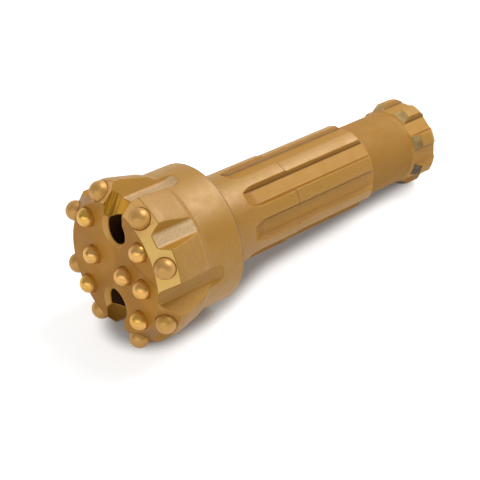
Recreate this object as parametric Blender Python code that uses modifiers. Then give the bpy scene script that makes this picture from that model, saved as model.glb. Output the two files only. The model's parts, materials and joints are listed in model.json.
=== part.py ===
"""Down-the-hole percussion drill bit: a one-piece steel body with pressed-in carbide buttons.

The bit is modelled upright in its own frame: +Z points out of the drilling face, the face is at
zero, and angles run about the axis. It is then laid down on its head and its rear lugs.
"""
import math

import bpy
from mathutils import Matrix, Vector

MM = 0.001
FULL_TURN = 2 * math.pi
MERGE_DISTANCE = 0.00001

# Head, turned
FACE_RADIUS = 44.7 * MM
BEVEL_WIDTH = 11.4 * MM
BEVEL_DEPTH = 10.7 * MM
GAUGE_LAND_LENGTH = 5.4 * MM
GAUGE_TAPER_LENGTH = 19.2 * MM
GAUGE_TAPER_DROP = 4.5 * MM
GAUGE_REAR_FILLET = 4.5 * MM
SKIRT_STEP = 3.0 * MM
SKIRT_LENGTH = 33.9 * MM
SKIRT_EDGE_RADIUS = 1.5 * MM

# Shank, turned
NECK_RADIUS = 31.8 * MM
NECK_FILLET = 3.0 * MM
NECK_LENGTH = 67.1 * MM
SPLINE_RADIUS = 31.0 * MM
SPLINE_LENGTH = 72.7 * MM
SPLINE_END_RAMP = 3.9 * MM
RETAINER_RADIUS = 26.9 * MM
RETAINER_LENGTH = 41.7 * MM
COLLAR_STEP_LENGTH = 2.0 * MM
COLLAR_RADIUS = 27.9 * MM
LUG_RAMP_LENGTH = 6.0 * MM
LUG_RADIUS = 31.8 * MM
LUG_LENGTH = 11.2 * MM
LUG_CHAMFER_LENGTH = 4.3 * MM
TAIL_RADIUS = 29.0 * MM

# Splines and rear lugs, cut by one form cutter
SPLINE_COUNT = 8
SPLINE_GROOVE_ANGLE = math.radians(5.4)
GROOVE_FLOOR_RADIUS = 27.6 * MM
GROOVE_HALF_WIDTH = 4.9 * MM
GROOVE_WALL_ANGLE = math.radians(42)
GROOVE_START = 107.0 * MM
GROOVE_CORNER_RADIUS = 1.2 * MM

# Chip flutes round the head, cut by another
FLUTE_COUNT = 4
FLUTE_HALF_WIDTH = 4.6 * MM
FLUTE_WALL_ANGLE = math.radians(39.4)
LONG_FLUTE_DEPTH = 10.9 * MM
LONG_FLUTE_END = 40.0 * MM
SHORT_FLUTE_DEPTH = 6.0 * MM
FLUTE_CORNER_RADIUS = 3.2 * MM
CUTTER_RADIUS = 20.0 * MM

# Air way: bore, two flushing holes and their face channels
BORE_RADIUS = 12.0 * MM
BORE_END = 58.0 * MM
BORE_CHAMFER = 1.5 * MM
DRILL_POINT_ANGLE = math.radians(59)
HOLE_COUNT = 2
HOLE_RADIUS = 9.4 * MM
HOLE_OFFSET = 29.7 * MM
HOLE_LEAN = math.radians(22)
MOUTH_RADIUS = 12.2 * MM
MOUTH_OFFSET = 28.4 * MM
MOUTH_DEPTH = 3.6 * MM
CHANNEL_HALF_WIDTH = 9.2 * MM
CHANNEL_LEAN = math.radians(23)
CHANNEL_EXIT_DEPTH = 13.3 * MM

# Carbide buttons, those of the face set in from its rim and those of the gauge out from it
GAUGE_CLOSE_SPREAD = math.radians(20)
GAUGE_OPEN_SPREAD = math.radians(22.5)
GAUGE_BUTTON_RADIUS = 6.7 * MM
GAUGE_BUTTON_OUTSET = 5.5 * MM
GAUGE_BUTTON_HEIGHT = 7.4 * MM
GAUGE_BUTTON_DEPTH = 10.5 * MM
FACE_BUTTON_RADIUS = 6.3 * MM
FACE_BUTTON_HEIGHT = 7.3 * MM
FACE_BUTTON_DEPTH = 12.5 * MM
FACE_CORNER_ANGLE = math.radians(46.4)
FACE_CORNER_INSET = 7.3 * MM
FACE_UPPER_INSET = 23.2 * MM
FACE_LOWER_INSET = 14.2 * MM
FACE_LOWER_PITCH = 19.3 * MM
BUTTON_NOSE_RADIUS = 3.6 * MM
BUTTON_BAND = 0.8 * MM
BUTTON_FOOT_CHAMFER = 0.8 * MM
SOCKET_CLEARANCE = 0.3 * MM

# Facets
BODY_SEGMENTS = 80
TOOL_SEGMENTS = 40
HOLE_SEGMENTS = 24
BUTTON_SEGMENTS = 20
ARC_STEPS = 3
OVERCUT = 4.0 * MM

# Radii of the head that follow from those above
GAUGE_RADIUS = FACE_RADIUS + BEVEL_WIDTH
GAUGE_REAR_RADIUS = GAUGE_RADIUS - GAUGE_TAPER_DROP
SKIRT_RADIUS = GAUGE_REAR_RADIUS - SKIRT_STEP
LONG_FLUTE_FLOOR_RADIUS = GAUGE_RADIUS - LONG_FLUTE_DEPTH
SHORT_FLUTE_FLOOR_RADIUS = GAUGE_RADIUS - SHORT_FLUTE_DEPTH

# Depths below the drilling face, each the end of the stretch before it
LAND_DEPTH = BEVEL_DEPTH + GAUGE_LAND_LENGTH
GAUGE_REAR_DEPTH = LAND_DEPTH + GAUGE_TAPER_LENGTH
SHOULDER_DEPTH = GAUGE_REAR_DEPTH + SKIRT_LENGTH
SPLINE_STEP_DEPTH = SHOULDER_DEPTH + NECK_LENGTH
SPLINE_END_DEPTH = SPLINE_STEP_DEPTH + SPLINE_LENGTH
RETAINER_DEPTH = SPLINE_END_DEPTH + SPLINE_END_RAMP
COLLAR_DEPTH = RETAINER_DEPTH + RETAINER_LENGTH
LUG_RAMP_DEPTH = COLLAR_DEPTH + COLLAR_STEP_LENGTH
LUG_DEPTH = LUG_RAMP_DEPTH + LUG_RAMP_LENGTH
LUG_CHAMFER_DEPTH = LUG_DEPTH + LUG_LENGTH
BODY_LENGTH = LUG_CHAMFER_DEPTH + LUG_CHAMFER_LENGTH
FLUTE_HALF_PITCH = FULL_TURN / (2 * FLUTE_COUNT)
BEVEL_ANGLE = math.atan2(BEVEL_DEPTH, BEVEL_WIDTH)


def clear_scene():
    for item in list(bpy.data.objects):
        bpy.data.objects.remove(item, do_unlink=True)


def new_collection(name, parent):
    collection = bpy.data.collections.new(name)
    parent.children.link(collection)
    return collection


def metal(name, colour, roughness, metallic):
    material = bpy.data.materials.new(name)
    material.use_nodes = True
    shader = material.node_tree.nodes["Principled BSDF"]
    shader.inputs["Base Color"].default_value = (*colour, 1)
    shader.inputs["Roughness"].default_value = roughness
    shader.inputs["Metallic"].default_value = metallic
    return material


def around(angle):
    return Matrix.Rotation(angle, 4, "Z")


def evenly(count, start=0.0):
    return [start + FULL_TURN * step / count for step in range(count)]


def rounded(corners):
    """Points along a path of (across, up, radius) corners, with an arc at each rounded corner."""
    points = []
    for index, (across, up, radius) in enumerate(corners):
        corner = Vector((across, up))
        if radius == 0:
            points.append(corner)
            continue
        back = (Vector(corners[index - 1][:2]) - corner).normalized()
        ahead = (Vector(corners[(index + 1) % len(corners)][:2]) - corner).normalized()
        half = back.angle(ahead) / 2
        centre = corner + (back + ahead).normalized() * radius / math.sin(half)
        first = corner + back * radius / math.tan(half) - centre
        sweep = first.angle_signed(corner + ahead * radius / math.tan(half) - centre)
        for step in range(ARC_STEPS + 1):
            spoke = first.copy()
            spoke.rotate(Matrix.Rotation(-sweep * step / ARC_STEPS, 2))
            points.append(centre + spoke)
    return points


def turned(name, points, segments, collection):
    """A solid turned about Z from (radius, height) points that run down its outer side."""
    mesh = bpy.data.meshes.new(name)
    edges = [(index, index + 1) for index in range(len(points) - 1)]
    mesh.from_pydata([(radius, 0, height) for radius, height in points], edges, [])
    item = bpy.data.objects.new(name, mesh)
    collection.objects.link(item)
    screw = item.modifiers.new("Turn", "SCREW")
    screw.axis = "Z"
    screw.angle = FULL_TURN
    screw.steps = segments
    screw.render_steps = segments
    screw.use_merge_vertices = True
    screw.merge_threshold = MERGE_DISTANCE
    screw.use_smooth_shade = True
    return item


def prism(name, outline, length, collection):
    """A bar of the given outline, centred on its own XY plane and length long in Z."""
    curve = bpy.data.curves.new(name, "CURVE")
    curve.dimensions = "2D"
    curve.fill_mode = "BOTH"
    curve.extrude = length / 2
    spline = curve.splines.new("POLY")
    spline.points.add(len(outline) - 1)
    for point, (across, up) in zip(spline.points, outline):
        point.co = (across, up, 0, 1)
    spline.use_cyclic_u = True
    draft = bpy.data.objects.new(name, curve)
    collection.objects.link(draft)
    bpy.context.view_layer.update()
    evaluated = draft.evaluated_get(bpy.context.evaluated_depsgraph_get())
    mesh = bpy.data.meshes.new_from_object(evaluated)
    bpy.data.objects.remove(draft, do_unlink=True)
    item = bpy.data.objects.new(name, mesh)
    collection.objects.link(item)
    weld = item.modifiers.new("Weld", "WELD")
    weld.merge_threshold = MERGE_DISTANCE
    return item


def place(item, matrix, rest, cutter=False):
    item.parent = rest
    item.matrix_basis = matrix
    if cutter:
        item.hide_render = True
        item.display_type = "WIRE"


def cut(body, name, collection):
    boolean = body.modifiers.new(name, "BOOLEAN")
    boolean.operation = "DIFFERENCE"
    boolean.operand_type = "COLLECTION"
    boolean.collection = collection
    boolean.solver = "EXACT"


def body_profile():
    corners = [
        (0, 0, 0),
        (FACE_RADIUS, 0, 0),
        (GAUGE_RADIUS, -BEVEL_DEPTH, 0),
        (GAUGE_RADIUS, -LAND_DEPTH, 0),
        (GAUGE_REAR_RADIUS, -GAUGE_REAR_DEPTH, 0),
        (SKIRT_RADIUS, -GAUGE_REAR_DEPTH, 0),
        (SKIRT_RADIUS, -SHOULDER_DEPTH, SKIRT_EDGE_RADIUS),
        (NECK_RADIUS, -SHOULDER_DEPTH, NECK_FILLET),
        (NECK_RADIUS, -SPLINE_STEP_DEPTH, 0),
        (SPLINE_RADIUS, -SPLINE_STEP_DEPTH, 0),
        (SPLINE_RADIUS, -SPLINE_END_DEPTH, 0),
        (RETAINER_RADIUS, -RETAINER_DEPTH, 0),
        (RETAINER_RADIUS, -COLLAR_DEPTH, 0),
        (COLLAR_RADIUS, -LUG_RAMP_DEPTH, 0),
        (LUG_RADIUS, -LUG_DEPTH, 0),
        (LUG_RADIUS, -LUG_CHAMFER_DEPTH, 0),
        (TAIL_RADIUS, -BODY_LENGTH, 0),
        (0, -BODY_LENGTH, 0),
    ]
    points = rounded(corners)
    square = points.index(Vector((SKIRT_RADIUS, -GAUGE_REAR_DEPTH)))
    points[square:square + 1] = rear_fillet()
    return points


def rear_fillet():
    """The hollow curve that runs from under the gauge section's rear edge down to the skirt."""
    rise = GAUGE_REAR_RADIUS - SKIRT_RADIUS
    points = []
    for step in range(1, ARC_STEPS + 1):
        turn = math.pi / 2 * step / ARC_STEPS
        radius = GAUGE_REAR_RADIUS - rise * math.sin(turn)
        points.append(Vector((radius, -GAUGE_REAR_DEPTH - GAUGE_REAR_FILLET * (1 - math.cos(turn)))))
    return points


def cutter_section(half_width, wall_angle, corner_radius, height):
    """Half of a form cutter's section as (half width, height over the floor), floor first."""
    spread = height * math.tan(wall_angle)
    corners = [
        (0, 0, 0),
        (half_width, 0, corner_radius),
        (half_width + spread, height, 0),
        (0, height, 0),
    ]
    return rounded(corners)[1:-1]


def slot_tools(name, section, floor_radius, near_depth, far_depth, wheel_depth, angle, tools, rest):
    """A straight slot between two depths, and the disc of the cutter where the slot runs out."""
    outline = [(-across, floor_radius + up) for across, up in reversed(section)]
    outline += [(across, floor_radius + up) for across, up in section]
    bar = prism(name + "_bar", outline, far_depth - near_depth, tools)
    middle = Matrix.Translation((0, 0, -(near_depth + far_depth) / 2))
    quarter = around(angle - math.pi / 2)
    place(bar, quarter @ middle, rest, cutter=True)
    if wheel_depth is None:
        return
    rim = [(CUTTER_RADIUS - up, across) for across, up in section]
    profile = [(0, rim[-1][1])] + list(reversed(rim))
    profile += [(radius, -half) for radius, half in rim] + [(0, -rim[-1][1])]
    wheel = turned(name + "_wheel", profile, TOOL_SEGMENTS, tools)
    centre = Matrix.Translation((0, floor_radius + CUTTER_RADIUS, -wheel_depth))
    place(wheel, quarter @ centre @ Matrix.Rotation(math.pi / 2, 4, "Y"), rest, cutter=True)


def make_flutes(tools, rest):
    form = (FLUTE_HALF_WIDTH, FLUTE_WALL_ANGLE, FLUTE_CORNER_RADIUS)
    long_section = cutter_section(*form, LONG_FLUTE_DEPTH + OVERCUT)
    short_section = cutter_section(*form, SHORT_FLUTE_DEPTH + OVERCUT)
    for index, angle in enumerate(evenly(FLUTE_COUNT)):
        slot_tools(f"long_flute_{index + 1}", long_section, LONG_FLUTE_FLOOR_RADIUS,
                   -OVERCUT, LONG_FLUTE_END, LONG_FLUTE_END, angle, tools, rest)
        slot_tools(f"short_flute_{index + 1}", short_section, SHORT_FLUTE_FLOOR_RADIUS,
                   -OVERCUT, GAUGE_REAR_DEPTH + GAUGE_REAR_FILLET, None,
                   angle + FLUTE_HALF_PITCH, tools, rest)


def make_spline_grooves(tools, rest):
    reach = max(NECK_RADIUS, SPLINE_RADIUS, LUG_RADIUS) - GROOVE_FLOOR_RADIUS + OVERCUT
    section = cutter_section(GROOVE_HALF_WIDTH, GROOVE_WALL_ANGLE, GROOVE_CORNER_RADIUS, reach)
    for index, angle in enumerate(evenly(SPLINE_COUNT, SPLINE_GROOVE_ANGLE)):
        slot_tools(f"spline_groove_{index + 1}", section, GROOVE_FLOOR_RADIUS,
                   GROOVE_START, BODY_LENGTH + OVERCUT, GROOVE_START, angle, tools, rest)


def drill_point(radius):
    return radius / math.tan(DRILL_POINT_ANGLE)


def bore_profile():
    """The bore's drill point, its wall and the chamfer at the tail."""
    return [
        (0, -BORE_END + drill_point(BORE_RADIUS)),
        (BORE_RADIUS, -BORE_END),
        (BORE_RADIUS, -BODY_LENGTH + BORE_CHAMFER),
        (BORE_RADIUS + BORE_CHAMFER + OVERCUT, -BODY_LENGTH - OVERCUT),
        (0, -BODY_LENGTH - OVERCUT),
    ]


def mouth_profile():
    """The countersink at a flushing hole's mouth, carried on past the face."""
    slope = (MOUTH_RADIUS - HOLE_RADIUS) / MOUTH_DEPTH
    top = MOUTH_RADIUS + OVERCUT * slope
    return [(0, OVERCUT), (top, OVERCUT), (HOLE_RADIUS, -MOUTH_DEPTH), (0, -MOUTH_DEPTH)]


def make_air_way(tools, rest):
    place(turned("air_bore", bore_profile(), HOLE_SEGMENTS, tools), Matrix(), rest, cutter=True)
    reach = (BORE_END + BORE_RADIUS) / math.cos(HOLE_LEAN)
    drill = [(0, OVERCUT), (HOLE_RADIUS, OVERCUT), (HOLE_RADIUS, -reach)]
    drill += [(0, -reach - drill_point(HOLE_RADIUS))]
    mouth = mouth_profile()
    for index, angle in enumerate(evenly(HOLE_COUNT)):
        lean = Matrix.Translation((HOLE_OFFSET, 0, 0)) @ Matrix.Rotation(HOLE_LEAN, 4, "Y")
        hole = turned(f"flushing_hole_{index + 1}", drill, HOLE_SEGMENTS, tools)
        place(hole, around(angle) @ lean, rest, cutter=True)
        funnel = turned(f"hole_mouth_{index + 1}", mouth, HOLE_SEGMENTS, tools)
        place(funnel, around(angle) @ Matrix.Translation((MOUTH_OFFSET, 0, 0)), rest, cutter=True)
        make_channel(index, angle, tools, rest)


def make_channel(index, angle, tools, rest):
    """A round-bottomed channel from a flushing hole out and back into its flute."""
    start = Vector((HOLE_OFFSET, 0, 0))
    exit_point = Vector((LONG_FLUTE_FLOOR_RADIUS, 0, -CHANNEL_EXIT_DEPTH))
    direction = Vector((math.cos(CHANNEL_LEAN), 0, -math.sin(CHANNEL_LEAN)))
    normal = Vector((math.sin(CHANNEL_LEAN), 0, math.cos(CHANNEL_LEAN)))
    floor = (exit_point - start).dot(normal)
    length = (GAUGE_RADIUS - HOLE_OFFSET) / math.cos(CHANNEL_LEAN) + BEVEL_DEPTH
    top = OVERCUT + length * math.sin(CHANNEL_LEAN)
    centre = floor + CHANNEL_HALF_WIDTH
    outline = [(CHANNEL_HALF_WIDTH, top), (-CHANNEL_HALF_WIDTH, top)]
    for step in range(HOLE_SEGMENTS // 2 + 1):
        turn = math.pi + FULL_TURN * step / HOLE_SEGMENTS
        across = CHANNEL_HALF_WIDTH * math.cos(turn)
        outline.append((across, centre + CHANNEL_HALF_WIDTH * math.sin(turn)))
    item = prism(f"channel_{index + 1}", outline, length, tools)
    middle = start + direction * length / 2
    axes = Matrix((Vector((0, 1, 0)), normal, direction)).transposed().to_4x4()
    place(item, around(angle) @ Matrix.Translation(middle) @ axes, rest, cutter=True)


def button_profile(radius, height, depth):
    """A ballistic button: a rounded nose, a convex flank, a short band and a chamfered foot."""
    nose = BUTTON_NOSE_RADIUS
    dome = height - BUTTON_BAND
    flank = (radius ** 2 + (dome - nose) ** 2 - nose ** 2) / (2 * (radius - nose))
    meet = math.atan2(dome - nose, flank - radius)
    points = []
    for step in range(ARC_STEPS):
        turn = math.pi / 2 + (meet - math.pi / 2) * step / ARC_STEPS
        points.append((nose * math.cos(turn), height - nose + nose * math.sin(turn)))
    for step in range(ARC_STEPS + 1):
        turn = meet * (1 - step / ARC_STEPS)
        points.append((radius - flank + flank * math.cos(turn), BUTTON_BAND + flank * math.sin(turn)))
    points.append((radius, BUTTON_FOOT_CHAMFER - depth))
    points.append((radius - BUTTON_FOOT_CHAMFER, -depth))
    points.append((0, -depth))
    points[0] = (0, height)
    return points


def button_seats():
    """Each button's name, seat matrix and sizes."""
    gauge = (GAUGE_BUTTON_RADIUS, GAUGE_BUTTON_HEIGHT, GAUGE_BUTTON_DEPTH)
    face = (FACE_BUTTON_RADIUS, FACE_BUTTON_HEIGHT, FACE_BUTTON_DEPTH)
    seats = []
    seat_depth = GAUGE_BUTTON_OUTSET * math.tan(BEVEL_ANGLE)
    outward = Matrix.Translation((FACE_RADIUS + GAUGE_BUTTON_OUTSET, 0, -seat_depth))
    outward @= Matrix.Rotation(BEVEL_ANGLE, 4, "Y")
    for index, middle in enumerate(evenly(FLUTE_COUNT, FLUTE_HALF_PITCH)):
        spread = GAUGE_OPEN_SPREAD if index % 2 == 0 else GAUGE_CLOSE_SPREAD
        for angle in (middle - spread, middle + spread):
            seats.append((f"gauge_button_{len(seats) + 1}", around(angle) @ outward, gauge))
    corner_x = (FACE_RADIUS - FACE_CORNER_INSET) * math.cos(FACE_CORNER_ANGLE)
    corner_y = (FACE_RADIUS - FACE_CORNER_INSET) * math.sin(FACE_CORNER_ANGLE)
    lowest = FACE_LOWER_INSET - FACE_RADIUS
    places = [(x, y) for x in (corner_x, -corner_x) for y in (corner_y, -corner_y)]
    places += [(0, FACE_RADIUS - FACE_UPPER_INSET), (0, lowest + FACE_LOWER_PITCH), (0, lowest)]
    for index, (x, y) in enumerate(places):
        seats.append((f"face_button_{index + 1}", Matrix.Translation((x, y, 0)), face))
    return seats


def make_buttons(parts, tools, rest, material):
    meshes = {}
    for name, seat, sizes in button_seats():
        radius, height, depth = sizes
        button = turned(name, button_profile(radius, height, depth), BUTTON_SEGMENTS, parts)
        button.data = meshes.setdefault(sizes, button.data)
        button.data.materials.clear()
        button.data.materials.append(material)
        place(button, seat, rest)
        wide = radius + SOCKET_CLEARANCE
        deep = -depth - SOCKET_CLEARANCE
        socket = turned(name + "_socket", [(0, OVERCUT), (wide, OVERCUT), (wide, deep), (0, deep)],
                        BUTTON_SEGMENTS, tools)
        place(socket, seat, rest, cutter=True)


def slot_edge(floor_radius, half_width, wall_angle, radius):
    """How far across and how high a slot's wall meets a round of the given radius."""
    slope = math.tan(wall_angle)
    base = half_width - floor_radius * slope
    square = 1 + slope ** 2
    height = (-base * slope + math.sqrt(square * radius ** 2 - base ** 2)) / square
    return base + slope * height, height


def lying_tilt():
    """How far the axis dips to the tail when the bit lies on two head lobes and a rear lug."""
    across, head_drop = slot_edge(LONG_FLUTE_FLOOR_RADIUS, FLUTE_HALF_WIDTH, FLUTE_WALL_ANGLE, GAUGE_RADIUS)
    across, height = slot_edge(GROOVE_FLOOR_RADIUS, GROOVE_HALF_WIDTH, GROOVE_WALL_ANGLE, LUG_RADIUS)
    lug_angle = math.atan2(across, height) - SPLINE_GROOVE_ANGLE
    tail_drop = LUG_RADIUS * math.cos(lug_angle)
    return math.atan2(head_drop - tail_drop, LUG_CHAMFER_DEPTH - LAND_DEPTH)


def lay_down(rest, parts):
    """Turn the bit onto its side and set it on the ground, over the middle of its outline."""
    rest.rotation_euler = (0, lying_tilt() - math.pi / 2, 0)
    bpy.context.view_layer.update()
    graph = bpy.context.evaluated_depsgraph_get()
    points = []
    for item in parts.objects:
        evaluated = item.evaluated_get(graph)
        points += [evaluated.matrix_world @ vertex.co for vertex in evaluated.to_mesh().vertices]
        evaluated.to_mesh_clear()
    low = Vector([min(point[axis] for point in points) for axis in range(3)])
    high = Vector([max(point[axis] for point in points) for axis in range(3)])
    rest.location = (-(low.x + high.x) / 2, -(low.y + high.y) / 2, -low.z)
    bpy.context.view_layer.update()


def main():
    clear_scene()
    scene_root = bpy.context.scene.collection
    parts = new_collection("percussion_drill_bit", scene_root)
    cutters = new_collection("cutters", scene_root)
    rest = bpy.data.objects.new("bit_rest", None)
    scene_root.objects.link(rest)

    steel = metal("gold_coated_steel", (0.42, 0.23, 0.07), 0.45, 0.7)
    carbide = metal("gold_coated_carbide", (0.50, 0.29, 0.08), 0.3, 0.8)

    body = turned("bit_body", body_profile(), BODY_SEGMENTS, parts)
    body.data.materials.append(steel)
    place(body, Matrix(), rest)

    flutes = new_collection("flute_cutters", cutters)
    make_flutes(flutes, rest)
    grooves = new_collection("spline_cutters", cutters)
    make_spline_grooves(grooves, rest)
    air_way = new_collection("air_way_cutters", cutters)
    make_air_way(air_way, rest)
    sockets = new_collection("socket_cutters", cutters)
    make_buttons(parts, sockets, rest, carbide)

    cut(body, "Flutes", flutes)
    cut(body, "Splines", grooves)
    cut(body, "Air way", air_way)
    cut(body, "Sockets", sockets)
    lay_down(rest, parts)


main()
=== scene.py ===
"""Down-the-hole percussion drill bit: its finer body and buttons, its finishes and its studio."""
import json
import math
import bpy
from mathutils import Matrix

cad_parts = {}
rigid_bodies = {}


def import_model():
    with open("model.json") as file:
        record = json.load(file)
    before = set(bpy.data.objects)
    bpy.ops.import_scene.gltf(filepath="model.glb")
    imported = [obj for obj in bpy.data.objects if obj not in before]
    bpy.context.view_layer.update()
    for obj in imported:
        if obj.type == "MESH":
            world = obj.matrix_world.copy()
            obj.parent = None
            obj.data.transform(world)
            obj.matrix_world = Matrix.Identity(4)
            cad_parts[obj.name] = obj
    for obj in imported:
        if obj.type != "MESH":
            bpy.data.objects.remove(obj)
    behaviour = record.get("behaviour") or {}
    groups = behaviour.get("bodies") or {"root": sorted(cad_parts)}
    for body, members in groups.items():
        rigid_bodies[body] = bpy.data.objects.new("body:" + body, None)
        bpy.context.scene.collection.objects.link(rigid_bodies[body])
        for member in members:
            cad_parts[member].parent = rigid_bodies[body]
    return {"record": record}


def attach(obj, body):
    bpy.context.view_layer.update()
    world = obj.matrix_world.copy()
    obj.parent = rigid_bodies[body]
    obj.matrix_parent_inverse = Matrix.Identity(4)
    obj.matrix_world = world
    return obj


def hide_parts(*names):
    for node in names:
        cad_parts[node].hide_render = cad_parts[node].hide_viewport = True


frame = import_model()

from types import SimpleNamespace

import bpy
from bpy.props import FloatProperty, FloatVectorProperty, IntProperty, PointerProperty
from mathutils import Matrix, Vector

bl_info = {
    "name": "Percussion Drill Bit",
    "version": (1, 0, 0),
    "blender": (4, 5, 0),
    "location": "View3D > Sidebar > Drill Bit",
    "description": "Models and finishes a down-the-hole button bit over its packed frame",
    "category": "Object",
}

MM = 0.001
FULL_TURN = 2 * math.pi
MERGE_DISTANCE = 0.00001

# How far above the bit's axis, as it lies, the record puts the strike face's mount
MOUNT_INSET = 20 * MM


def length(name, default, description):
    return FloatProperty(
        name=name, description=description, default=default * MM, min=0.0, precision=5, unit="LENGTH"
    )


def angle(name, default, description):
    return FloatProperty(name=name, description=description, default=math.radians(default), subtype="ANGLE")


def count(name, default, description):
    return IntProperty(name=name, description=description, default=default, min=2)


def share(name, default, description):
    return FloatProperty(name=name, description=description, default=default, min=0.0, max=1.0)


def colour(name, default, description):
    return FloatVectorProperty(
        name=name, description=description, default=default, size=3, min=0.0, max=1.0, subtype="COLOR"
    )


# Sizes

class HeadSizes(bpy.types.PropertyGroup):
    face_radius: length("Face radius", 44.7, "Radius of the flat drilling face")
    bevel_width: length("Bevel width", 11.4, "How far the gauge stands out past the face")
    bevel_depth: length("Bevel depth", 10.7, "Depth of the bevel under the face")
    land_length: length("Land length", 5.4, "Straight stretch at the full gauge")
    taper_length: length("Taper length", 19.2, "Tapered stretch behind the land")
    taper_drop: length("Taper drop", 4.5, "Fall in radius over the taper")
    land_round: length("Land rounding", 3.0, "Rounding where the taper leaves the land")
    rear_round: length("Rear rounding", 1.5, "Rounding of the gauge lobes' rear edge")
    rear_run: length("Rear run", 4.5, "Slope from the gauge lobes down to the skirt")
    rear_fillet: length("Rear fillet", 8.0, "Hollow curve where that slope meets the skirt")
    skirt_radius: length("Skirt radius", 48.6, "Radius of the skirt")
    skirt_length: length("Skirt length", 33.9, "Length of the skirt")
    skirt_edge: length("Skirt edge", 1.5, "Rounding of the skirt's rear edge")


class ShankSizes(bpy.types.PropertyGroup):
    neck_radius: length("Neck radius", 31.8, "Radius of the neck behind the shoulder")
    neck_fillet: length("Neck fillet", 3.0, "Fillet where the neck meets the shoulder")
    neck_length: length("Neck length", 67.1, "Shoulder to the step in the splines")
    spline_radius: length("Spline radius", 31.0, "Radius over the splines")
    spline_length: length("Spline length", 72.7, "Length of the splines behind the step")
    spline_ramp: length("Spline ramp", 3.9, "Ramp at the rear ends of the splines")
    retainer_radius: length("Retainer radius", 26.9, "Round that carries the retaining rings")
    retainer_length: length("Retainer length", 41.7, "Length of that round")
    collar_step: length("Collar step", 2.0, "Small step up to the collar")
    collar_radius: length("Collar radius", 27.9, "Radius of the collar in front of the lugs")
    lug_ramp: length("Lug ramp", 6.0, "Ramp at the fronts of the lugs")
    lug_radius: length("Lug radius", 31.8, "Radius over the rear lugs")
    lug_length: length("Lug length", 11.2, "Length of the lugs' tops")
    lug_chamfer: length("Lug chamfer", 4.3, "Chamfer at the rear of the lugs")
    tail_radius: length("Tail radius", 29.0, "Radius of the tail end")


class SplineSizes(bpy.types.PropertyGroup):
    count: count("Grooves", 8, "Grooves round the shank")
    turn: angle("Turn", 5.4, "Angle of the first groove from the top flute")
    floor_radius: length("Floor radius", 27.6, "Radius of the groove floors")
    half_width: length("Half width", 4.9, "Half the width of a groove's floor")
    wall_angle: angle("Wall angle", 42, "Lean of the groove walls")
    start: length("Start", 107.0, "Depth at which the cutter comes out")
    corner: length("Corner", 1.2, "Rounding in the groove's corners")


class FluteSizes(bpy.types.PropertyGroup):
    count: count("Flutes", 4, "Long flutes, with as many short ones between them")
    half_width: length("Half width", 4.6, "Half the width of a flute's floor")
    wall_angle: angle("Wall angle", 39.4, "Lean of the flute walls")
    long_depth: length("Long depth", 10.9, "Depth of the long flutes in the gauge")
    long_end: length("Long end", 40.0, "Depth at which the long flutes run out")
    short_depth: length("Short depth", 6.0, "Depth of the short flutes in the gauge")
    corner: length("Corner", 3.2, "Rounding in the flute's corners")
    cutter_radius: length("Cutter radius", 20.0, "Radius of the disc cutter")


class AirWaySizes(bpy.types.PropertyGroup):
    bore_radius: length("Bore radius", 12.0, "Radius of the bore through the shank")
    bore_end: length("Bore end", 58.0, "Depth behind the face that the bore reaches")
    bore_chamfer: length("Bore chamfer", 1.5, "Chamfer of the bore at the tail")
    point_angle: angle("Point angle", 59, "Half the angle of the drill's point")
    hole_count: count("Flushing holes", 2, "Flushing holes in the face")
    hole_radius: length("Hole radius", 9.4, "Radius of the flushing holes")
    hole_offset: length("Hole offset", 29.7, "Where the holes' axes meet the face")
    hole_lean: angle("Hole lean", 22, "Lean of the holes to the axis")
    mouth_radius: length("Mouth radius", 12.2, "Radius of the countersunk mouths")
    mouth_offset: length("Mouth offset", 28.4, "Offset of the countersinks")
    mouth_depth: length("Mouth depth", 3.6, "Depth of the countersinks")
    channel_half_width: length("Channel half width", 9.2, "Half width of the round channels")
    channel_lean: angle("Channel lean", 23, "Lean of the channels under the face")
    channel_exit: length("Channel exit", 13.3, "Depth at which a channel meets its flute")


class ButtonSizes(bpy.types.PropertyGroup):
    close_spread: angle("Close spread", 20, "Half the spread of the closer gauge pairs")
    open_spread: angle("Open spread", 22.5, "Half the spread of the wider gauge pairs")
    gauge_radius: length("Gauge button radius", 6.7, "Radius of the gauge buttons")
    gauge_outset: length("Gauge outset", 5.5, "How far out from the face's rim they sit")
    gauge_height: length("Gauge button height", 7.4, "How far they stand proud")
    gauge_depth: length("Gauge button depth", 10.5, "How deep they sit")
    face_radius: length("Face button radius", 6.3, "Radius of the face buttons")
    face_height: length("Face button height", 7.3, "How far they stand proud")
    face_depth: length("Face button depth", 12.5, "How deep they sit")
    corner_angle: angle("Corner angle", 46.4, "Where the four outer face buttons stand")
    corner_inset: length("Corner inset", 7.3, "How far in from the face's rim they sit")
    upper_inset: length("Upper inset", 23.2, "Inset of the single button on one side")
    lower_inset: length("Lower inset", 14.2, "Inset of the pair on the other side")
    lower_pitch: length("Lower pitch", 19.3, "Distance between that pair")
    nose_radius: length("Nose radius", 3.6, "Radius of a button's nose")
    band: length("Band", 0.8, "Straight band at a button's base")
    foot_chamfer: length("Foot chamfer", 0.8, "Chamfer at a button's foot")
    clearance: length("Socket clearance", 0.3, "Gap round a button in its socket")
    coat: length("Button coat", 0.16, "Thickness of the coat that narrows that gap")
    dimple: length("Dimple", 0.8, "Radius of the dimple at a gauge button's tip")


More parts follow.
